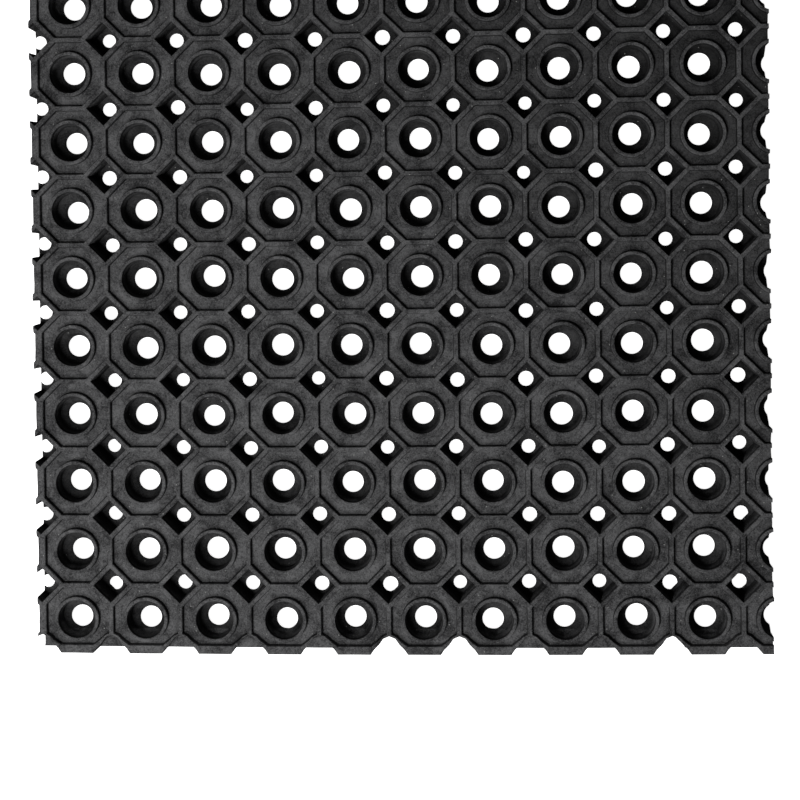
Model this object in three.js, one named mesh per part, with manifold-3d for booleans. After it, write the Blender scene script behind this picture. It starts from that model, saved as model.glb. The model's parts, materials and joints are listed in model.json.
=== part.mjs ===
// Recycled rubber ring mat, moulded in one piece and cut to width on its right side.
// Octagonal pockets stand in rows between raised ribs, each around a round drain hole,
// and a diamond drain hole lies where four octagons meet.
// Millimetres, +Z up. The origin is at the middle of the underside, and the near edge is at -Y.

import * as THREE from "three";
import { mergeVertices } from "three/addons/utils/BufferGeometryUtils.js";
import Module from "manifold-3d";

// Overall sizes.
const thickness = 22;
const columnPitch = 47.6; // from one octagon to the next along X
const rowPitch = 46.6; // from one octagon to the next along Y
const rowCount = 13; // the near and far edges are both moulded edges
const wholeColumns = 10; // octagons left whole by the knife cut on the right
const cutRemnant = 20.2; // what the cut leaves of the column after them

// Top relief.
const ribWidth = 3.2;
const pocketDepth = 3.5; // from the ribs down to the floor of an octagon
const endBorder = 5.9; // wall between the near or far edge and its octagons
const sideBorder = 6.4; // wall between the left edge and its octagons

// Drain holes. Both kinds narrow on their way down.
const ringMouthRadius = 13.4; // at the pocket's floor
const ringDrainRadius = 7.8; // at the underside
const ringSides = 8;
const diamondMouth = 11.7; // half a diagonal, at the top
const diamondDrain = 7; // half a diagonal, at the underside
const sideInset = 3.6; // from the left edge to the middle of the diamonds that it cuts

// Half diamonds along the near and far edges, larger than the others and closed by a web.
const notchDepth = 13.8; // from the edge to the notch's inner corner
const notchRib = 1.2; // narrow end of the rib between a notch and a pocket
const webTop = 7.5;
const webThickness = 2.2;

const color = 0x3a3a3b;

// Sizes that follow from the ones above.
const matLength = rowCount * rowPitch;
const matWidth = sideInset + wholeColumns * columnPitch + cutRemnant;
const left = -matWidth / 2;
const near = -matLength / 2;
const columnCount = wholeColumns + 1;
const pocketFloor = thickness - pocketDepth;
const beyond = 1; // how far a cutter reaches past the face that it opens

const columnX = (column) => left + sideInset + (column + 0.5) * columnPitch;
const rowY = (row) => near + (row + 0.5) * rowPitch;

const wasm = await Module();
wasm.setup();

// A three.js geometry as a manifold-3d solid.
function solidOf(geometry) {
  const bare = geometry.clone();
  bare.deleteAttribute("normal");
  bare.deleteAttribute("uv");
  const merged = mergeVertices(bare, 1e-4);
  return new wasm.Manifold(
    new wasm.Mesh({
      numProp: 3,
      vertProperties: merged.getAttribute("position").array,
      triVerts: new Uint32Array(merged.getIndex().array),
    }),
  );
}

// A manifold-3d solid as a three.js geometry.
function geometryOf(solid) {
  const mesh = solid.getMesh();
  const positions = new THREE.BufferAttribute(mesh.vertProperties, 3);
  const geometry = new THREE.BufferGeometry();
  geometry.setAttribute("position", positions);
  geometry.setIndex(new THREE.BufferAttribute(mesh.triVerts, 1));
  return geometry;
}

// A prism of an outline's points, standing from one height to another.
function prism(points, bottom, top) {
  const shape = new THREE.Shape(points.map(([x, y]) => new THREE.Vector2(x, y)));
  const geometry = new THREE.ExtrudeGeometry(shape, { depth: top - bottom, bevelEnabled: false });
  return solidOf(geometry.translate(0, 0, bottom));
}

// A hole with flat sides that narrows downwards. Its radii are those of its corners at the
// mouth's height and at the underside, and it runs past both along the same slope.
function taperedHole(x, y, mouthRadius, drainRadius, mouthHeight, sides, turn) {
  const slope = (mouthRadius - drainRadius) / mouthHeight;
  const height = mouthHeight + 2 * beyond;
  const geometry = new THREE.CylinderGeometry(
    mouthRadius + slope * beyond,
    drainRadius - slope * beyond,
    height,
    sides,
  );
  geometry.rotateX(Math.PI / 2);
  geometry.rotateZ(turn);
  geometry.translate(x, y, height / 2 - beyond);
  return solidOf(geometry);
}

// Where the slanted sides of a pocket meet its other sides, on the side that faces another
// row and on the side that faces the near or far edge.
function innerSide(halfWidth) {
  const slant = (columnPitch + rowPitch) / 2 - diamondMouth - Math.SQRT2 * ribWidth;
  const reach = (rowPitch - ribWidth) / 2;
  return { reach, corner: slant - reach, shoulder: slant - halfWidth };
}

function edgeSide() {
  const toNotch = columnPitch / 2 - notchDepth;
  const corner = toNotch + endBorder - Math.SQRT2 * ribWidth;
  const shoulder = rowPitch / 2 - notchDepth - Math.SQRT2 * notchRib + ribWidth / 2;
  return { reach: rowPitch / 2 - endBorder, corner, shoulder };
}

// The octagonal pocket of one cell. Its slanted sides stand a rib's width off the diamonds,
// and a side that faces a border stands back from the mat's edge.
function pocket(column, row) {
  const x = columnX(column);
  const y = rowY(row);
  const east = (columnPitch - ribWidth) / 2;
  const west = column === 0 ? columnPitch / 2 + sideInset - sideBorder : east;
  const near = row === 0 ? edgeSide() : innerSide(east);
  const far = row === rowCount - 1 ? edgeSide() : innerSide(east);
  const corners = [
    [-west, -near.shoulder - (east - west)],
    [-near.corner, -near.reach],
    [near.corner, -near.reach],
    [east, -near.shoulder],
    [east, far.shoulder],
    [far.corner, far.reach],
    [-far.corner, far.reach],
    [-west, far.shoulder + (east - west)],
  ];
  const placed = corners.map(([dx, dy]) => [x + dx, y + dy]);
  return prism(placed, pocketFloor, thickness + beyond);
}

// The round drain hole of one cell, as a hole with flat sides.
function ringHole(column, row) {
  return taperedHole(
    columnX(column),
    rowY(row),
    ringMouthRadius,
    ringDrainRadius,
    pocketFloor,
    ringSides,
    Math.PI / ringSides,
  );
}

// The diamond drain hole on the left of a column and on the near side of a row.
function diamondHole(column, row) {
  return taperedHole(
    columnX(column) - columnPitch / 2,
    rowY(row) - rowPitch / 2,
    diamondMouth,
    diamondDrain,
    thickness,
    4,
    0,
  );
}

// A half diamond in the near edge, or in the far one, above and below its web.
function edgeNotch(column, inward) {
  const x = columnX(column) - columnPitch / 2;
  const edge = (-inward * matLength) / 2;
  const reach = notchDepth + beyond;
  const outline = [
    [-reach, -beyond],
    [reach, -beyond],
    [0, notchDepth],
  ];
  const placed = outline.map(([dx, dy]) => [x + dx, edge + inward * dy]);
  if (inward < 0) placed.reverse();
  return [
    prism(placed, webTop, thickness + beyond),
    prism(placed, -beyond, webTop - webThickness),
  ];
}

// The whole mat: a slab with every pocket, hole and notch cut out of it.
function matGeometry() {
  const slab = new THREE.BoxGeometry(matWidth, matLength, thickness).translate(0, 0, thickness / 2);
  const cutters = [];
  for (let column = 0; column < columnCount; column++) {
    for (let row = 0; row < rowCount; row++) {
      cutters.push(pocket(column, row));
      cutters.push(ringHole(column, row));
      if (row > 0) cutters.push(diamondHole(column, row));
    }
    cutters.push(...edgeNotch(column, 1));
    cutters.push(...edgeNotch(column, -1));
  }
  const mat = wasm.Manifold.difference([solidOf(slab), ...cutters]);
  return geometryOf(mat);
}

const rubber = new THREE.MeshStandardMaterial({ color, roughness: 0.85, metalness: 0 });
const ringMat = new THREE.Mesh(matGeometry(), rubber);
ringMat.name = "ring_mat";

const group = new THREE.Group();
group.add(ringMat);

export default group;
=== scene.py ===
"""Looks for the recycled rubber ring mat: its fine moulded relief, its rubber, and the studio."""

import json
import logging
import math
from dataclasses import dataclass, field

import bpy
import numpy as np
from mathutils import Matrix

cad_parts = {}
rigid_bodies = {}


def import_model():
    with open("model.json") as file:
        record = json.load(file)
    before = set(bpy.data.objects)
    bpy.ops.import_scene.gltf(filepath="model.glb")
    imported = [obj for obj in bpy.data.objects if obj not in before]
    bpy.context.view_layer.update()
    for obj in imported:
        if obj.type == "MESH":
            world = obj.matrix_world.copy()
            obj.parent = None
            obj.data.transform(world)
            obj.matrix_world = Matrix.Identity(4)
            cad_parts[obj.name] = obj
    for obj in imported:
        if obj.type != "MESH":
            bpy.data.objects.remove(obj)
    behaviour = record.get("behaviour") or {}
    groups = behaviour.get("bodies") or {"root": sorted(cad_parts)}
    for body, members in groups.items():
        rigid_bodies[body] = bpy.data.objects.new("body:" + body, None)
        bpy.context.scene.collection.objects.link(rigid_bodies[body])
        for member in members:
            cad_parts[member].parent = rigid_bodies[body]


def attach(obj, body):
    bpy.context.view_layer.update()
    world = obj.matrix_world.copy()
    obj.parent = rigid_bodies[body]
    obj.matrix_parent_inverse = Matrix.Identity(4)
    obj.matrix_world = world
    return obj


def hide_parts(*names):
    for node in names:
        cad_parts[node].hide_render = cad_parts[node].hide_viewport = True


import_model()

log = logging.getLogger("ring_mat")
MM = 0.001
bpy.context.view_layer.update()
# Points are merged to a thousandth of a millimetre. The shift keeps places on a half step, of
# which an even grid has many, from being rounded to either side.
WELD_STEPS_PER_MM = 1000
WELD_SHIFT = 0.13


def linear(hex_color: str) -> tuple[float, float, float, float]:
    """Turns an sRGB hex colour into linear RGBA.

    Args:
        hex_color: Six hex digits after a hash sign.

    Returns:
        Red, green, blue and alpha as Blender's sockets take them.
    """
    parts = [int(hex_color[i : i + 2], 16) / 255 for i in (1, 3, 5)]
    red, green, blue = (
        c / 12.92 if c <= 0.04045 else ((c + 0.055) / 1.055) ** 2.4 for c in parts
    )
    return red, green, blue, 1.0


def add_node(
    tree: bpy.types.NodeTree,
    kind: str,
    settings: dict[str, object] | None = None,
    values: dict[str | int, object] | None = None,
    links: dict[str | int, bpy.types.NodeSocket] | None = None,
) -> bpy.types.Node:
    """Adds one shader node.

    Args:
        tree: The node tree that gets it.
        kind: The node's type name.
        settings: Properties of the node.
        values: Constants for its input sockets.
        links: Output sockets to join to its input sockets.

    Returns:
        The new node.
    """
    node = tree.nodes.new(kind)
    for name, value in (settings or {}).items():
        setattr(node, name, value)
    for name, value in (values or {}).items():
        node.inputs[name].default_value = value
    for name, socket in (links or {}).items():
        tree.links.new(socket, node.inputs[name])
    return node


def new_piece(name: str, points: np.ndarray, quads: np.ndarray) -> bpy.types.Object:
    """Makes a mesh object from points in millimetres and four-sided faces.

    Args:
        name: The object's name.
        points: Array of shape (n, 3).
        quads: Array of shape (m, 4) of point numbers, counter-clockwise from outside.

    Returns:
        The object, linked to the scene, with its place in its mesh.
    """
    mesh = bpy.data.meshes.new(name)
    mesh.vertices.add(len(points))
    mesh.vertices.foreach_set("co", (points * MM).astype(np.float32).ravel())
    mesh.loops.add(quads.size)
    mesh.loops.foreach_set("vertex_index", quads.astype(np.int32).ravel())
    mesh.polygons.add(len(quads))
    mesh.polygons.foreach_set("loop_start", np.arange(0, quads.size, 4, dtype=np.int32))
    mesh.update(calc_edges=True)
    mesh.validate()
    obj = bpy.data.objects.new(name, mesh)
    bpy.context.scene.collection.objects.link(obj)
    return obj


def rings_to_quads(rings: np.ndarray) -> np.ndarray:
    """Joins each ring of points to the next one with quads.

    Args:
        rings: Point numbers, of shape (sheets, rings, points around).

    Returns:
        Quads of shape (m, 4), between the points k and k + 1 of the rings r and r + 1. The
        last point of a ring is followed by its first.
    """
    after = np.roll(rings, -1, axis=2)
    a, b = rings[:, :-1], after[:, :-1]
    c, d = after[:, 1:], rings[:, 1:]
    return np.stack([a, b, c, d], axis=-1).reshape(-1, 4)


def weld(points: np.ndarray, quads: np.ndarray) -> tuple[np.ndarray, np.ndarray]:
    """Merges points that share a place to a thousandth of a millimetre.

    Args:
        points: Array of shape (n, 3), in millimetres.
        quads: Point numbers of shape (m, 4).

    Returns:
        The distinct points and the quads renumbered to them.
    """
    keys = np.round(points * WELD_STEPS_PER_MM + WELD_SHIFT).astype(np.int64)
    _, first, inverse = np.unique(keys, axis=0, return_index=True, return_inverse=True)
    return points[first], inverse.reshape(-1)[quads]


@dataclass
class Lattice:
    """The grid of octagonal cells and of the diamonds at their corners, in millimetres.

    Cell (i, j) is the column i from the left and the row j from the near edge. One more cell
    than the mat has stands outside each moulded edge, and the trim takes it off again.
    """

    column_pitch: float = 47.6
    row_pitch: float = 46.6
    row_count: int = 13
    whole_columns: int = 10
    cut_remnant: float = 20.2
    side_inset: float = 3.6
    thickness: float = 22.0
    rib_width: float = 3.2
    end_border: float = 5.9
    side_border: float = 6.4
    diamond: float = 11.7
    notch: float = 13.8
    notch_rib: float = 1.2
    bow: float = 1.15
    arch_across: float = 3.6
    arch_inward: float = 10.5
    arch_reach: float = 4.4
    arch_push: float = 0.9

    @property
    def length(self) -> float:
        """Length of the mat along Y."""
        return self.row_count * self.row_pitch

    @property
    def width(self) -> float:
        """Width of the mat along X."""
        return self.side_inset + self.whole_columns * self.column_pitch + self.cut_remnant

    def cells(self) -> tuple[np.ndarray, np.ndarray]:
        """Numbers all cells, the ones outside the edges included.

        Returns:
            The column and the row of each cell.
        """
        columns = np.arange(-1, self.whole_columns + 1)
        rows = np.arange(-1, self.row_count + 1)
        i, j = np.meshgrid(columns, rows, indexing="ij")
        return i.ravel(), j.ravel()

    def corner_place(self, i: np.ndarray, j: np.ndarray) -> np.ndarray:
        """Finds the lattice corners at the lower left of cells.

        Args:
            i: Columns of the cells.
            j: Rows of the cells.

        Returns:
            Places of shape (n, 2).
        """
        x = -self.width / 2 + self.side_inset + i * self.column_pitch
        y = -self.length / 2 + j * self.row_pitch
        return np.stack([x, y], axis=-1)

    def cell_place(self, i: np.ndarray, j: np.ndarray) -> np.ndarray:
        """Places of the middles of the cells (i, j)."""
        return self.corner_place(i + 0.5, j + 0.5)

    def is_notch(self, j: np.ndarray) -> np.ndarray:
        """Whether the corners in row j lie on the near or the far edge."""
        return (j == 0) | (j == self.row_count)

    def half_diagonal(self, j: np.ndarray, inner: float, notch: float) -> np.ndarray:
        """Half diagonals of the diamonds in corner row j."""
        return np.where(self.is_notch(j), notch, inner)

    def frame_corners(self, j: np.ndarray, inner: float, notch: float) -> np.ndarray:
        """Eight corners of each cell's outer ring, which touches its four diamonds.

        Going round from the lower end of the right side, each corner is a diamond's tip: it
        lies on the cell's border, one half diagonal from the lattice corner.

        Args:
            j: Rows of the cells.
            inner: Half diagonal of a diamond inside the mat.
            notch: Half diagonal of a notch on the near or far edge.

        Returns:
            Array of shape (cells, 8, 2), from the cell's middle.
        """
        hx = self.column_pitch / 2
        hy = self.row_pitch / 2
        low = self.half_diagonal(j, inner, notch)
        high = self.half_diagonal(j + 1, inner, notch)
        wide = np.full(len(j), hx)
        tall = np.full(len(j), hy)
        corners = [
            (wide, low - hy),
            (wide, hy - high),
            (hx - high, tall),
            (high - hx, tall),
            (-wide, hy - high),
            (-wide, low - hy),
            (low - hx, -tall),
            (hx - low, -tall),
        ]
        return np.stack([np.stack(c, axis=-1) for c in corners], axis=1)

    def bent(self, flat: np.ndarray) -> np.ndarray:
        """Bends the rows a little, as a soft mat lies when it is put down.

        Each point moves along Y by bow * (x / half width) ** 2. The far edge stays, and the
        bend grows over the first quarter of the mat from there.

        Args:
            flat: Places of shape (..., 2 or more), x and y first.

        Returns:
            The places after the bend.
        """
        reach = np.clip((self.length / 2 - flat[..., 1]) / (self.length / 4), 0.0, 1.0)
        moved = flat.copy()
        moved[..., 1] += self.bow * (2 * flat[..., 0] / self.width) ** 2 * reach
        return moved

    def arched(self, points: np.ndarray) -> np.ndarray:
        """Rounds the notches of the near and far edges into arches.

        With u and v the distances from the middle of the nearest notch and from the edge,
        points around (u, v) = (arch_across, arch_inward) move outward by
        arch_push * (1 - d ** 2 / arch_reach ** 2) ** 2, where d is their distance from there.

        Args:
            points: Places of shape (n, 3).

        Returns:
            The places after the move.
        """
        left = -self.width / 2 + self.side_inset
        across = points[:, 0] - left
        across = across - np.round(across / self.column_pitch) * self.column_pitch
        inward = self.length / 2 - np.abs(points[:, 1])
        square = (np.abs(across) - self.arch_across) ** 2 + (inward - self.arch_inward) ** 2
        share = np.clip(1 - square / self.arch_reach**2, 0.0, 1.0) ** 2
        push = self.arch_push * share / math.sqrt(2)
        moved = points.copy()
        moved[:, 0] += push * np.sign(np.round(across, 3))
        moved[:, 1] -= push * np.sign(points[:, 1])
        return moved

    def pocket_corners(self, i: np.ndarray, j: np.ndarray, grow: float) -> np.ndarray:
        """Eight corners of each octagonal pocket at the top of its wall.

        Its sides stand half a rib off the cell's border and a whole rib off the diamonds,
        and a side on a moulded edge stands back by that edge's border.

        Args:
            i: Columns of the cells.
            j: Rows of the cells.
            grow: How far the outline is moved out, in millimetres.

        Returns:
            Array of shape (cells, 8, 2), from the cell's middle.
        """
        hx = self.column_pitch / 2
        hy = self.row_pitch / 2
        half = self.rib_width / 2
        slant = hx + hy - self.diamond - math.sqrt(2) * self.rib_width
        east = hx - half
        side = np.full(len(i), east)
        west = np.where(i == 0, hx + self.side_inset - self.side_border, east)
        edge_corner = hx - self.notch + self.end_border - math.sqrt(2) * self.rib_width
        edge_shoulder = hy - self.notch - math.sqrt(2) * self.notch_rib + half

        def end(on_edge: np.ndarray) -> tuple[np.ndarray, np.ndarray, np.ndarray]:
            """Sizes of the pockets' near or far ends.

            Args:
                on_edge: For each cell, whether that end lies on an edge of the mat.

            Returns:
                How far the end stands off, half its width, and where the long sides stop.
            """
            reach = np.where(on_edge, hy - self.end_border, hy - half)
            corner = np.where(on_edge, edge_corner, slant - (hy - half))
            shoulder = np.where(on_edge, edge_shoulder, slant - east)
            return reach, corner, shoulder

        low, low_corner, low_shoulder = end(j == 0)
        high, high_corner, high_shoulder = end(j == self.row_count - 1)
        back = east - west
        corners = np.stack(
            [
                np.stack([side, -low_shoulder], -1),
                np.stack([side, high_shoulder], -1),
                np.stack([high_corner, high], -1),
                np.stack([-high_corner, high], -1),
                np.stack([-west, high_shoulder + back], -1),
                np.stack([-west, -low_shoulder - back], -1),
                np.stack([-low_corner, -low], -1),
                np.stack([low_corner, -low], -1),
            ],
            axis=1,
        )
        reach = np.linalg.norm(corners, axis=-1, keepdims=True)
        return corners * (1 + grow / (reach * math.cos(math.pi / 8)))


@dataclass
class Relief:
    """Sizes of the moulded relief inside one cell and one diamond, in millimetres.

    The stretch is a share of the distance from the mat's middle.
    """

    steps: int = 4
    membrane_top: float = 7.6
    membrane_under: float = 6.3
    diamond_top: float = 6.6
    diamond_under: float = 5.3
    pocket_floor: float = 18.5
    drain_radius: float = 7.4
    drain_taper: float = 0.3
    drain_size_spread: float = 0.12
    drain_wander: float = 0.7
    drain_wander_limit: float = 1.5
    drift: float = 0.5
    stretch: float = 0.0033
    diamond_drain_radius: float = 4.75
    diamond_size_spread: float = 0.18
    diamond_wander: float = 0.55
    diamond_wander_limit: float = 1.2
    web_hole_radius: float = 0.8
    web_hole_outward: float = 5.0
    web_tip_pull: float = 1.0
    under_mouth: float = 11.6
    under_diamond: float = 10.6
    bevel: float = 0.45
    seed: int = 7

    @property
    def around(self) -> int:
        """Points around one cell's rings."""
        return 8 * self.steps

    def shoulder_profile(self) -> list[tuple[float, float, float]]:
        """Rings from the drain hole up to the pocket's floor.

        Returns:
            For each ring its radius, its height, and its share of the drain's wander.
        """
        floor = self.pocket_floor
        return [
            # The hole through the membrane, and the soft ledge above it.
            (self.drain_radius + self.drain_taper, self.membrane_under, 1.0),
            (self.drain_radius, self.membrane_top - 0.5, 1.0),
            (self.drain_radius + 0.75, self.membrane_top + 0.9, 0.95),
            (self.drain_radius + 1.15, self.membrane_top + 1.2, 0.9),
            # The bore, which opens a little towards its mouth.
            (12.0, 11.8, 0.05),
            (12.75, 21.1, 0.0),
            # The raised lip round the mouth, and down to the pocket's floor.
            (13.0, 21.75, 0.0),
            (13.45, 22.0, 0.0),
            (14.95, 22.0, 0.0),
            (15.35, 21.6, 0.0),
            (15.5, floor + 0.25, 0.0),
            (15.75, floor, 0.0),
        ]


@dataclass
class MatBody:
    """The moulded mat itself, as one closed mesh, with its lengths in millimetres.

    The knife-cut side wanders by cut_swing and cut_nicks, the moulded side by moulded_swing
    and the near and far edges by end_swing. The webs of the notches in torn_columns on the
    near edge are torn out.
    """

    lattice: Lattice = field(default_factory=Lattice)
    relief: Relief = field(default_factory=Relief)
    torn_columns: tuple[int, ...] = (5, 6, 9)
    side_points: int = 360
    end_points: int = 40
    outline_seed: int = 21
    cut_swing: float = 0.5
    cut_nicks: float = 0.3
    moulded_swing: float = 0.25
    end_swing: float = 0.12
    flash_place: float = 10.5
    flash_width: float = 1.9
    flash_height: float = 0.35
    chamfer: float = 0.4
    sharp_degrees: float = 38.0

    def sample_octagons(self, corners: np.ndarray) -> np.ndarray:
        """Points along eight-sided outlines, evenly spaced on each side.

        Args:
            corners: Array of shape (cells, 8, 2).

        Returns:
            Array of shape (cells, around, 2): start + (end - start) * step / steps.
        """
        share = np.arange(self.relief.steps) / self.relief.steps
        ahead = np.roll(corners, -1, axis=1)
        sides = corners[:, :, None] + (ahead - corners)[:, :, None] * share[:, None]
        return sides.reshape(len(corners), -1, 2)

    def circle(
        self, radius: np.ndarray, wander: np.ndarray, count: int, start: float
    ) -> np.ndarray:
        """Circles of points: wander + radius * (cos, sin) of evenly spaced angles.

        Args:
            radius: One radius for each circle.
            wander: The circles' middles, of shape (n, 2).
            count: Points around.
            start: The first point's angle in radians.

        Returns:
            Array of shape (n, count, 2).
        """
        angle = start + np.arange(count) * 2 * math.pi / count
        unit = np.stack([np.cos(angle), np.sin(angle)], axis=-1)
        return wander[:, None] + radius[:, None, None] * unit

    def punch_offset(self, place: np.ndarray) -> np.ndarray:
        """How far the drain holes stand off the middles of their cells on the whole.

        They lie as if punched with a slightly longer pitch along Y than the relief was
        moulded with: along X the offset is drift, along Y it is stretch * y.

        Args:
            place: Middles of the cells or diamonds, of shape (n, 2).

        Returns:
            Offsets of shape (n, 2).
        """
        relief = self.relief
        return np.stack([np.full(len(place), relief.drift), relief.stretch * place[:, 1]], -1)

    def cell_sheets(self) -> np.ndarray:
        """Rings of every cell, from the underside's border in, up the hole and out to the ribs.

        Returns:
            Points of shape (cells, rings, around, 3).
        """
        lattice, relief = self.lattice, self.relief
        i, j = lattice.cells()
        rng = np.random.default_rng(relief.seed)
        limit = relief.drain_wander_limit
        wander = np.clip(rng.normal(0, relief.drain_wander, (len(i), 2)), -limit, limit)
        wander += self.punch_offset(lattice.cell_place(i, j))
        size = rng.normal(0, relief.drain_size_spread, len(i))
        start = -math.pi / 8
        still = np.zeros_like(wander)
        ones = np.ones(len(i))
        rings: list[tuple[np.ndarray, float]] = []
        under = lattice.frame_corners(j, relief.under_diamond, relief.under_diamond)
        rings.append((self.sample_octagons(under), 0.0))
        mouth = self.circle(ones * relief.under_mouth, still, relief.around, start)
        rings.append((mouth, 0.0))
        for radius, height, share in relief.shoulder_profile():
            swell = size * share
            ring = self.circle(ones * radius + swell, wander * share, relief.around, start)
            rings.append((ring, height))
        floor = relief.pocket_floor
        top = lattice.thickness
        bevel = relief.bevel
        # The pocket's wall, with a small fillet at its foot and the rib's bevel at its head.
        pocket = ((-0.45, floor), (-0.3, floor + 0.25), (0.0, top - bevel), (bevel, top))
        for grow, height in pocket:
            outline = lattice.pocket_corners(i, j, grow)
            rings.append((self.sample_octagons(outline), height))
        crown = lattice.frame_corners(j, lattice.diamond + bevel, lattice.notch + bevel)
        rings.append((self.sample_octagons(crown), top))
        place = lattice.cell_place(i, j)
        flat = np.stack([ring for ring, _ in rings], axis=1) + place[:, None, None]
        heights = np.array([height for _, height in rings])
        z = np.broadcast_to(heights[None, :, None], flat.shape[:3])
        return np.concatenate([flat, z[..., None]], axis=-1)

    def diamond_ring(self, half: np.ndarray, round_off: float | np.ndarray) -> np.ndarray:
        """Diamond outlines: straight sides from tip to tip, with the tips pulled in.

        Args:
            half: Half diagonals.
            round_off: How far each tip is pulled towards the middle.

        Returns:
            Array of shape (n, 4 * steps, 2), from each diamond's middle.
        """
        steps = self.relief.steps
        tips = np.array([[1, 0], [0, 1], [-1, 0], [0, -1]], dtype=float)
        ahead = np.roll(tips, -1, axis=0)
        share = np.arange(steps) / steps
        sides = tips[:, None] + (ahead - tips)[:, None] * share[:, None]
        pull = np.zeros((len(half), 4, steps, 1))
        pull[:, :, 0, 0] = np.reshape(round_off, (-1, 1))
        ring = sides * half[:, None, None, None] - pull * sides
        return ring.reshape(len(half), -1, 2)

    def diamond_sheets(self) -> np.ndarray:
        """Rings of every diamond, from the top down its wall and through its drain hole.

        Returns:
            Points of shape (diamonds, rings, points around, 3).
        """
        lattice, relief = self.lattice, self.relief
        columns = np.arange(0, lattice.whole_columns + 1)
        rows = np.arange(0, lattice.row_count + 1)
        i, j = (a.ravel() for a in np.meshgrid(columns, rows, indexing="ij"))
        rng = np.random.default_rng(relief.seed + 1)
        limit = relief.diamond_wander_limit
        wander = np.clip(rng.normal(0, relief.diamond_wander, (len(i), 2)), -limit, limit)
        wander += self.punch_offset(lattice.corner_place(i, j))
        spread = rng.normal(0, relief.diamond_size_spread, len(i))
        radius = relief.diamond_drain_radius + spread
        webbed = lattice.is_notch(j)
        # A web has no drain: its ring closes on a spot outside the edge, which the trim takes off.
        outward = np.where(j == 0, -1.0, 1.0) * relief.web_hole_outward
        wander[webbed] = np.stack([np.zeros(len(i)), outward], -1)[webbed]
        wander[webbed & (i == 0), 0] = -relief.web_hole_outward
        radius = np.where(webbed, relief.web_hole_radius, radius)
        torn = np.isin(i, self.torn_columns) & (j == 0)
        half = lattice.half_diagonal(j, lattice.diamond, lattice.notch)
        count = 4 * relief.steps
        top, bevel = lattice.thickness, relief.bevel
        high = relief.diamond_top
        soft = np.where(webbed, relief.web_tip_pull, 0.0)
        foot = self.diamond_ring(half - 0.9, 0.4 + soft)
        drain = self.circle(radius, wander, count, 0.0)
        drain_under = self.circle(radius + relief.drain_taper, wander, count, 0.0)
        # Where the web is torn out, the hole is as wide as the notch.
        drain[torn] = self.diamond_ring(half - 1.4, 0.5 + soft)[torn]
        drain_under[torn] = self.diamond_ring(half - 1.5, 0.5 + soft)[torn]
        under = np.full(len(i), relief.under_diamond)
        rings = [
            (self.diamond_ring(half + bevel, 0.0), top),
            (self.diamond_ring(half, 0.1 + soft), top - bevel),
            (self.diamond_ring(half - 0.6, 0.3 + soft), high + 0.9),
            (foot, high),
            (drain, high),
            (drain_under, relief.diamond_under),
            (self.diamond_ring(under, 0.0), 0.0),
        ]
        place = lattice.corner_place(i, j)
        flat = np.stack([ring for ring, _ in rings], axis=1) + place[:, None, None]
        heights = np.array([height for _, height in rings])
        z = np.broadcast_to(heights[None, :, None], flat.shape[:3])
        return np.concatenate([flat, z[..., None]], axis=-1)

    def outer_walls(self, numbers: np.ndarray) -> np.ndarray:
        """Quads that close the sides which have no neighbour, from the crown to the underside.

        Args:
            numbers: Point numbers of the cells' rings, of shape (cells, rings, around).

        Returns:
            Quads of shape (m, 4).
        """
        i, j = self.lattice.cells()
        last_column, last_row = self.lattice.whole_columns, self.lattice.row_count
        right, left = i == last_column, i == -1
        far, near = j == last_row, j == -1
        bare = np.stack(
            [right, right | far, far, left | far, left, left | near, near, right | near], axis=1
        )
        steps = self.relief.steps
        point_bare = np.repeat(bare, steps, axis=1)
        crown, under = numbers[:, -1], numbers[:, 0]
        walls = np.stack(
            [crown, under, np.roll(under, -1, axis=1), np.roll(crown, -1, axis=1)], axis=-1
        )
        return walls[point_bare]

    def block(self) -> tuple[np.ndarray, np.ndarray]:
        """Joins all cells and diamonds, still with the cells outside the edges.

        Returns:
            Points and quads of one closed mesh.
        """
        cells = self.cell_sheets()
        diamonds = self.diamond_sheets()
        numbers = np.arange(cells[..., 0].size).reshape(cells.shape[:3])
        more = numbers.size + np.arange(diamonds[..., 0].size).reshape(diamonds.shape[:3])
        quads = np.concatenate(
            [rings_to_quads(numbers)[:, ::-1], rings_to_quads(more), self.outer_walls(numbers)]
        )
        points = np.concatenate([cells.reshape(-1, 3), diamonds.reshape(-1, 3)])
        return weld(self.lattice.bent(self.lattice.arched(points)), quads)

    def corner_row(self, y: np.ndarray) -> np.ndarray:
        """Numbers of the rows of lattice corners that lie nearest to the places y."""
        return np.round((y + self.lattice.length / 2) / self.lattice.row_pitch)

    def trim_outline(self, inset: float) -> np.ndarray:
        """The mat's outline seen from above: nearly straight sides that wander a little.

        The left side has lumps of flash where the half diamonds begin, which stand out by
        flash_height * exp(-((distance - flash_place) / flash_width) ** 2), with the distance
        from the nearest row of lattice corners.

        Args:
            inset: How far the outline stands inside the mat's own.

        Returns:
            Array of shape (points, 2), counter-clockwise.
        """
        half_width, half_length = self.lattice.width / 2, self.lattice.length / 2
        rng = np.random.default_rng(self.outline_seed)
        fine, coarse = self.side_points, self.end_points

        def wobble(count: int, depth: float, spacing: int) -> np.ndarray:
            """Straight lines between random depths.

            Args:
                count: Points on the line.
                depth: The greatest depth.
                spacing: Points from one random depth to the next.

            Returns:
                One depth for each point.
            """
            knots = rng.random(count // spacing + 2)
            return depth * np.interp(np.arange(count) / spacing, np.arange(len(knots)), knots)

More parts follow.
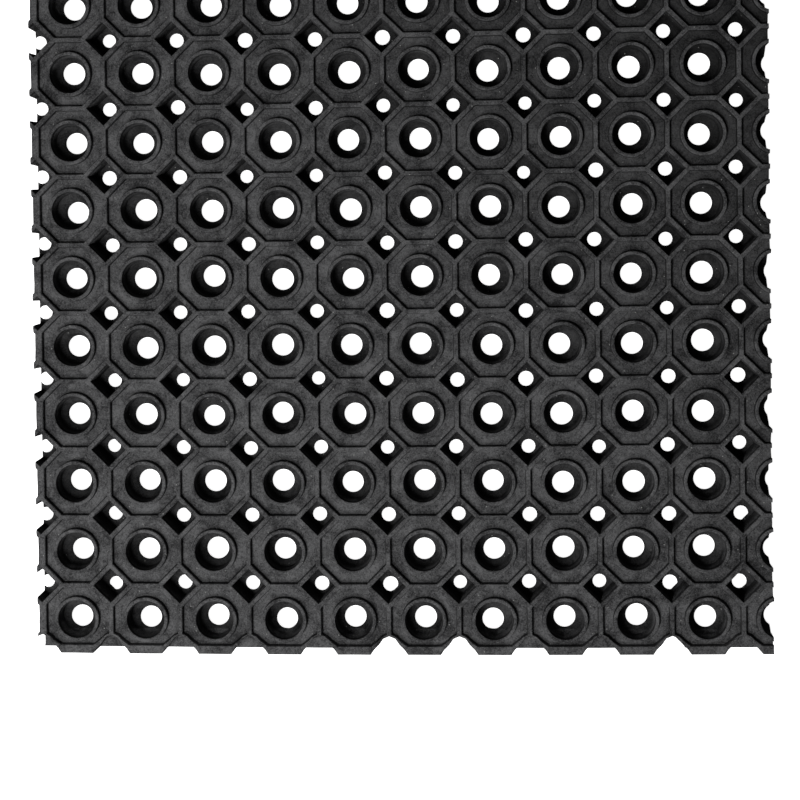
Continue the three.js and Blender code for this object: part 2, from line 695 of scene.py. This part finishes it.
        along = np.linspace(-1, 1, fine)
        keep = inset + 0.03
        right = half_width - keep - wobble(fine, self.cut_swing, 7)
        right = right - wobble(fine, self.cut_nicks, 2)
        y = along * (half_length - keep)
        pitch = self.lattice.row_pitch
        from_corner = np.abs(y - self.corner_row(y) * pitch + half_length)
        lump = np.exp(-(((from_corner - self.flash_place) / self.flash_width) ** 2))
        left = -half_width + keep + wobble(fine, self.moulded_swing, 3)
        left = left + self.flash_height * (1 - lump)
        sides = [
            np.stack([right[1:-1], y[1:-1]], -1),
            np.stack([left[1:-1], y[1:-1]], -1)[::-1],
        ]
        x = np.linspace(-half_width + keep, half_width - keep - 0.4, coarse)
        near = np.stack([x, -half_length + keep + wobble(coarse, self.end_swing, 1)], -1)
        far = np.stack([x, half_length - keep - wobble(coarse, self.end_swing, 1)], -1)[::-1]
        return self.lattice.bent(np.concatenate([near, sides[0], far, sides[1]]))

    def trim(self) -> bpy.types.Object:
        """Makes the slab that the block is cut to: the mat's outline, chamfered at the top.

        Returns:
            The slab, which reaches past the block above and below.
        """
        top, beyond = self.lattice.thickness, 6.0
        levels = (
            (0.0, -beyond),
            (0.0, top - 0.35),
            (self.chamfer, top + 0.05),
            (self.chamfer, top + beyond),
        )
        rings = []
        for inset, height in levels:
            flat = self.trim_outline(inset)
            rings.append(np.column_stack([flat, np.full(len(flat), height)]))
        points = np.stack(rings)[None]
        numbers = np.arange(points[..., 0].size).reshape(points.shape[:3])
        quads = rings_to_quads(numbers)
        mesh_points = points.reshape(-1, 3) * MM
        count = points.shape[2]
        faces = [tuple(q) for q in quads.tolist()]
        faces.append(tuple(range(count - 1, -1, -1)))
        faces.append(tuple(range(3 * count, 4 * count)))
        mesh = bpy.data.meshes.new("trim")
        mesh.from_pydata(mesh_points.tolist(), [], faces)
        mesh.update()
        obj = bpy.data.objects.new("trim", mesh)
        bpy.context.scene.collection.objects.link(obj)
        return obj

    def build(self) -> bpy.types.Object:
        """Builds the block, cuts it to the outline and shades it.

        Returns:
            The mat, with no material yet.
        """
        mat = new_piece("ring_mat_body", *self.block())
        cutter = self.trim()
        cut = mat.modifiers.new("trim", "BOOLEAN")
        cut.operation = "INTERSECT"
        cut.solver = "MANIFOLD"
        cut.object = cutter
        graph = bpy.context.evaluated_depsgraph_get()
        trimmed = bpy.data.meshes.new_from_object(mat.evaluated_get(graph))
        mat.modifiers.remove(cut)
        block = mat.data
        mat.data = trimmed
        trimmed.name = "ring_mat_body"
        bpy.data.meshes.remove(block)
        bpy.data.objects.remove(cutter, do_unlink=True)
        count = len(trimmed.polygons)
        trimmed.polygons.foreach_set("use_smooth", np.ones(count, dtype=bool))
        trimmed.materials.clear()
        trimmed.polygons.foreach_set("material_index", np.zeros(count, dtype=np.int32))
        trimmed.set_sharp_from_angle(angle=math.radians(self.sharp_degrees))
        return mat


@dataclass(frozen=True)
class RecycledRubber:
    """Ground tyre rubber pressed and cured in a mould.

    The eye sees a flat charcoal with cloudy patches of dust and mould release, the short
    streaks of flattened crumbs, a fine grit, and a few pale specks of fibre. The real grit is
    finer than the render can show, so it is drawn at 0.7 mm. Painted shade darkens the
    hollows, their walls, the bores and the diamonds, and the rib and rim tops are paler, partly
    wear and partly painted light. Shares and shades are factors, and the places where a shade
    begins and is full are in metres.
    """

    dark: str = "#1c1c1d"
    pale: str = "#5b5b5c"
    speck: str = "#8d8d8b"
    cloud_mm: float = 13.0
    crumb_mm: float = 1.4
    grit_mm: float = 0.7
    speck_mm: float = 6.5
    speck_share: float = 0.06
    crumb_share: float = 0.9
    grit_share: float = 0.7
    dark_until: float = 1.05
    pale_from: float = 1.58
    # Painted shade: the hollows fall off from near_left_shade to far_right_shade along x + y, the
    # pocket walls darken to wall_shade, and the bores and diamonds to deep_shade. raised_shade
    # makes the rib and rim tops paler, partly wear and partly painted light.
    near_left_shade: float = 1.25
    far_right_shade: float = 0.3
    raised_shade: float = 1.3
    deep_shade: float = 0.42
    wall_shade: float = 0.4
    slant_near: float = -0.04
    slant_far: float = 0.4
    deep_until: float = 0.012
    open_from: float = 0.0178
    wall_from: float = 0.0186
    wall_full: float = 0.019
    rib_from: float = 0.0212
    rib_full: float = 0.0219
    web_from: float = 0.288
    web_full: float = 0.2895
    web_lift: float = 0.015
    noise_roughness: float = 0.62
    bump_mm: float = 0.45
    roughness: float = 0.66
    ior: float = 1.45
    specular: float = 0.22

    def noise(
        self,
        tree: bpy.types.NodeTree,
        place: bpy.types.NodeSocket,
        size_mm: float,
        detail: float,
        warp: float,
    ) -> bpy.types.NodeSocket:
        """Adds one cloud of noise.

        Args:
            tree: The material's node tree.
            place: Object coordinates.
            size_mm: Size of its patches in millimetres.
            detail: How many finer layers it has.
            warp: How much it is bent.

        Returns:
            The noise, around one half.
        """
        return add_node(
            tree,
            "ShaderNodeTexNoise",
            values={
                "Scale": 1 / (size_mm * MM),
                "Detail": detail,
                "Roughness": self.noise_roughness,
                "Distortion": warp,
            },
            links={"Vector": place},
        ).outputs["Fac"]

    def painted_shade_and_wear(self, tree: bpy.types.NodeTree, place: bpy.types.NodeSocket) -> bpy.types.NodeSocket:
        """Painted shade of the hollows against the ribs and rims, whose tops are paler: partly
        wear, partly painted light.

        The hollows get a painted falloff of light with x + y: as pale as the ribs at the near
        left, black at the far right corner. The upright walls get a painted shade line. The bores
        and the diamonds get the darkest painted shade. The webs of the near and far edges lie
        open, are lifted out of that darkest painted shade and stay as pale as the hollows.

        Args:
            tree: The material's node tree.
            place: Object coordinates.

        Returns:
            A grey of painted shade and of paler tops that multiplies the rubber's colour.
        """
        axes = add_node(tree, "ShaderNodeSeparateXYZ", links={"Vector": place})
        slant = add_node(
            tree,
            "ShaderNodeMath",
            settings={"operation": "MULTIPLY_ADD"},
            values={1: 1.0},
            links={0: axes.outputs["X"], 2: axes.outputs["Y"]},
        ).outputs[0]
        # Painted falloff of light across the hollows: pale at the near left, dark at the far
        # right.
        hollow = add_node(
            tree,
            "ShaderNodeMapRange",
            values={
                "From Min": self.slant_near,
                "From Max": self.slant_far,
                "To Min": self.near_left_shade,
                "To Max": self.far_right_shade,
            },
            links={"Value": slant},
        ).outputs["Result"]
        raised = add_node(
            tree,
            "ShaderNodeMapRange",
            values={"From Min": self.rib_from, "From Max": self.rib_full},
            links={"Value": axes.outputs["Z"]},
        ).outputs["Result"]
        outward = add_node(
            tree,
            "ShaderNodeMath",
            settings={"operation": "ABSOLUTE"},
            links={0: axes.outputs["Y"]},
        ).outputs[0]
        # Lifts the open webs of the near and far edges out of the deepest painted shade.
        open_web = add_node(
            tree,
            "ShaderNodeMapRange",
            values={
                "From Min": self.web_from,
                "From Max": self.web_full,
                "To Max": self.web_lift,
            },
            links={"Value": outward},
        ).outputs["Result"]
        height = add_node(
            tree,
            "ShaderNodeMath",
            settings={"operation": "ADD"},
            links={0: axes.outputs["Z"], 1: open_web},
        ).outputs[0]
        # Painted shade that darkens the bores and the diamonds.
        deep = add_node(
            tree,
            "ShaderNodeMapRange",
            values={
                "From Min": self.deep_until,
                "From Max": self.open_from,
                "To Min": self.deep_shade,
                "To Max": 1.0,
            },
            links={"Value": height},
        ).outputs["Result"]
        # Painted shade line on the upright pocket walls.
        crease = add_node(
            tree,
            "ShaderNodeMapRange",
            values={
                "From Min": self.wall_from,
                "From Max": self.wall_full,
                "To Min": 1.0,
                "To Max": self.wall_shade,
            },
            links={"Value": axes.outputs["Z"]},
        ).outputs["Result"]
        sunk = add_node(
            tree,
            "ShaderNodeMath",
            settings={"operation": "MULTIPLY"},
            links={0: hollow, 1: deep},
        ).outputs[0]
        low = add_node(
            tree,
            "ShaderNodeMath",
            settings={"operation": "MULTIPLY"},
            links={0: sunk, 1: crease},
        ).outputs[0]
        # The rib and rim tops are paler than the shaded hollows: partly wear, partly painted
        # light.
        return add_node(
            tree,
            "ShaderNodeMix",
            settings={"data_type": "RGBA"},
            values={7: (self.raised_shade,) * 3 + (1,)},
            links={0: raised, 6: low},
        ).outputs[2]

    def material(self) -> bpy.types.Material:
        """Builds the shader.

        Returns:
            The material, patterned on Object coordinates.
        """
        material = bpy.data.materials.new("recycled_rubber")
        material.use_nodes = True
        tree = material.node_tree
        tree.nodes.clear()
        place = add_node(tree, "ShaderNodeTexCoord").outputs["Object"]
        cloud = self.noise(tree, place, self.cloud_mm, 3.0, 0.4)
        crumb = self.noise(tree, place, self.crumb_mm, 2.0, 1.2)
        grit = self.noise(tree, place, self.grit_mm, 1.0, 0.0)
        both = add_node(
            tree,
            "ShaderNodeMath",
            settings={"operation": "MULTIPLY_ADD"},
            values={1: self.crumb_share},
            links={0: crumb, 2: cloud},
        ).outputs[0]
        all_three = add_node(
            tree,
            "ShaderNodeMath",
            settings={"operation": "MULTIPLY_ADD"},
            values={1: self.grit_share},
            links={0: grit, 2: both},
        ).outputs[0]
        pale_share = add_node(
            tree,
            "ShaderNodeMapRange",
            values={"From Min": self.dark_until, "From Max": self.pale_from},
            links={"Value": all_three},
        ).outputs["Result"]
        base = add_node(
            tree,
            "ShaderNodeMix",
            settings={"data_type": "RGBA"},
            values={6: linear(self.dark), 7: linear(self.pale)},
            links={0: pale_share},
        ).outputs[2]
        cells = add_node(
            tree,
            "ShaderNodeTexVoronoi",
            values={"Scale": 1 / (self.speck_mm * MM)},
            links={"Vector": place},
        )
        near_point = add_node(
            tree,
            "ShaderNodeMath",
            settings={"operation": "LESS_THAN"},
            values={1: self.speck_share},
            links={0: cells.outputs["Distance"]},
        ).outputs[0]
        # The rubber's colour times the painted shade of hollows, walls, bores and diamonds, with
        # paler tops.
        base_with_painted_shade = add_node(
            tree,
            "ShaderNodeMix",
            settings={"data_type": "RGBA", "blend_type": "MULTIPLY"},
            values={0: 1.0},
            links={6: base, 7: self.painted_shade_and_wear(tree, place)},
        ).outputs[2]
        specked = add_node(
            tree,
            "ShaderNodeMix",
            settings={"data_type": "RGBA"},
            values={7: linear(self.speck)},
            links={0: near_point, 6: base_with_painted_shade},
        ).outputs[2]
        height = add_node(
            tree,
            "ShaderNodeMath",
            settings={"operation": "MULTIPLY_ADD"},
            values={1: 0.6},
            links={0: crumb, 2: grit},
        ).outputs[0]
        bump = add_node(
            tree,
            "ShaderNodeBump",
            values={"Strength": 1.0, "Distance": self.bump_mm * MM},
            links={"Height": height},
        ).outputs["Normal"]
        shader = add_node(
            tree,
            "ShaderNodeBsdfPrincipled",
            values={
                "Roughness": self.roughness,
                "IOR": self.ior,
                "Specular IOR Level": self.specular,
            },
            links={"Base Color": specked, "Normal": bump},
        )
        add_node(
            tree,
            "ShaderNodeOutputMaterial",
            links={"Surface": shader.outputs["BSDF"]},
        )
        return material


@dataclass
class Studio:
    """The pale floor, the lights and the camera, in metres, watts and degrees."""

    floor_size: float = 6.0
    floor_drop_mm: float = 0.4
    floor_color: str = "#f2f2f2"
    surround: float = 0.025
    key_place: tuple[float, float, float] = (-0.62, -1.2, 1.3)
    key_size: float = 0.5
    key_power: float = 12.2
    overhead_place: tuple[float, float, float] = (-0.42, -0.42, 1.2)
    overhead_size: float = 0.35
    overhead_power: float = 9.2
    eye_place: tuple[float, float, float] = (0.04555, -0.01485, 0.9203)
    eye_turn: tuple[float, float, float] = (-0.769, 2.744, -0.706)
    lens_mm: float = 60.02
    lens_shift: float = -0.1908

    def floor(self) -> None:
        """Lays a flat pale floor, bright enough to show white through the drain holes.

        Its glow is kept off the mat, which only the lights and the surround light up.
        """
        half = self.floor_size / 2 / MM
        points = np.array([[-half, -half, 0], [half, -half, 0], [half, half, 0], [-half, half, 0]])
        obj = new_piece("floor", points - [0, 0, self.floor_drop_mm], np.array([[0, 1, 2, 3]]))
        material = bpy.data.materials.new("pale_floor")
        material.use_nodes = True
        shader = material.node_tree.nodes["Principled BSDF"]
        shader.inputs["Base Color"].default_value = linear(self.floor_color)
        shader.inputs["Roughness"].default_value = 0.9
        shader.inputs["Emission Color"].default_value = (1, 1, 1, 1)
        shader.inputs["Emission Strength"].default_value = 1.0
        obj.data.materials.append(material)
        obj.visible_diffuse = False
        obj.visible_glossy = False

    def light(
        self, name: str, place: tuple[float, float, float], size: float, power: float
    ) -> None:
        """Hangs one square soft light that faces the mat's middle.

        Args:
            name: The light's name.
            place: Where it hangs, in metres.
            size: Its side in metres.
            power: Its power in watts.
        """
        data = bpy.data.lights.new(name, "AREA")
        data.size = size
        data.energy = power
        lamp = bpy.data.objects.new(name, data)
        bpy.context.scene.collection.objects.link(lamp)
        away = np.array(place) / np.linalg.norm(place)
        side = np.cross([0, 0, 1.0], away) if abs(away[2]) < 0.99 else np.array([1.0, 0, 0])
        side /= np.linalg.norm(side)
        turn = np.eye(4)
        turn[:3, 0], turn[:3, 1], turn[:3, 2] = side, np.cross(away, side), away
        turn[:3, 3] = place
        lamp.matrix_world = Matrix(turn.tolist())

    def world(self) -> None:
        """Sets an even grey surround."""
        world = bpy.data.worlds.new("surround")
        bpy.context.scene.world = world
        world.use_nodes = True
        back = world.node_tree.nodes["Background"]
        back.inputs["Color"].default_value = (1, 1, 1, 1)
        back.inputs["Strength"].default_value = self.surround

    def camera(self) -> None:
        """Looks almost straight down, from a little right of the mat's middle."""
        data = bpy.data.cameras.new("camera")
        data.sensor_width = 36.0
        data.lens = self.lens_mm
        data.shift_y = self.lens_shift
        data.clip_end = 50
        eye = bpy.data.objects.new("camera", data)
        bpy.context.scene.collection.objects.link(eye)
        turn = np.radians(self.eye_turn)
        angle = float(np.linalg.norm(turn))
        rotation = Matrix.Rotation(angle, 4, (turn / angle).tolist())
        eye.matrix_world = Matrix.Translation(self.eye_place) @ rotation
        bpy.context.scene.camera = eye

    def build(self) -> None:
        """Sets up the whole studio."""
        self.floor()
        self.world()
        self.light("key", self.key_place, self.key_size, self.key_power)
        self.light("overhead", self.overhead_place, self.overhead_size, self.overhead_power)
        self.camera()


def main() -> None:
    """Builds the mat and the studio."""
    logging.basicConfig(level=logging.INFO, format="%(message)s")
    mat = MatBody().build()
    mat.data.materials.append(RecycledRubber().material())
    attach(mat, "root")
    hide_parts("ring_mat")
    triangles = sum(len(p.vertices) - 2 for p in mat.data.polygons)
    log.info("ring_mat_body: %d triangles", triangles)
    Studio().build()
    bpy.context.scene.view_settings.view_transform = "Standard"


if __name__ == "__main__":
    main()
